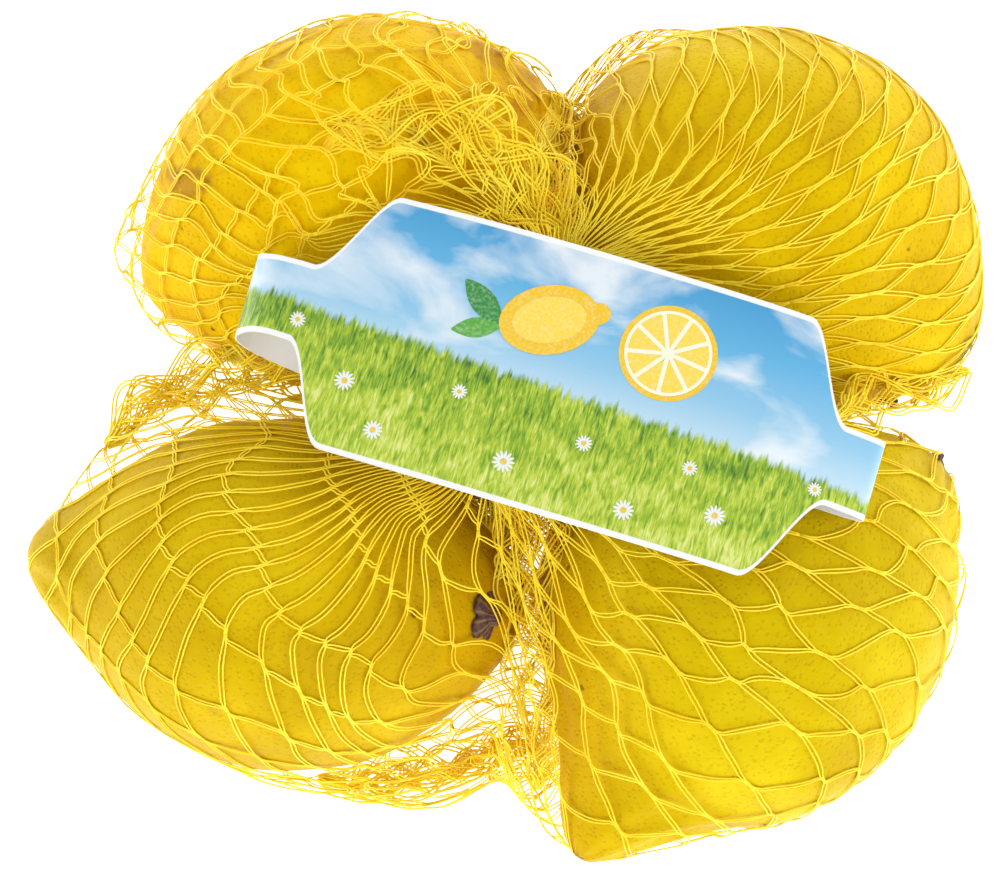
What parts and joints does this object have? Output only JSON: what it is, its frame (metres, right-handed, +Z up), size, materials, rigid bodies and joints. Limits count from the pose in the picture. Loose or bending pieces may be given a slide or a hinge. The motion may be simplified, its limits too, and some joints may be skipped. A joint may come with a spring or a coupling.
{
  "type": "net of lemons",
  "caption": "Lemons in a knitted yellow net bag, gathered at its middle through a wide printed band that lies over them.",
  "frame": {"origin": "centre of the pack's outer box, on the table that the lemons rest on", "axes": "+Z up from the table, +X along the long side of the pack, +Y across it, away from the side that is looked at"},
  "size_m": [0.1547, 0.1398, 0.0648],
  "materials": {
    "net_and_lemons": "yellow knitted net drawn over waxy yellow lemon peel",
    "printed_band": "satin printed film, blue over green, with a white edge and a white back"
  },
  "bodies": {
    "root": {"net": "net_and_lemons", "label_band": "printed_band"}
  },
  "joints": []
}
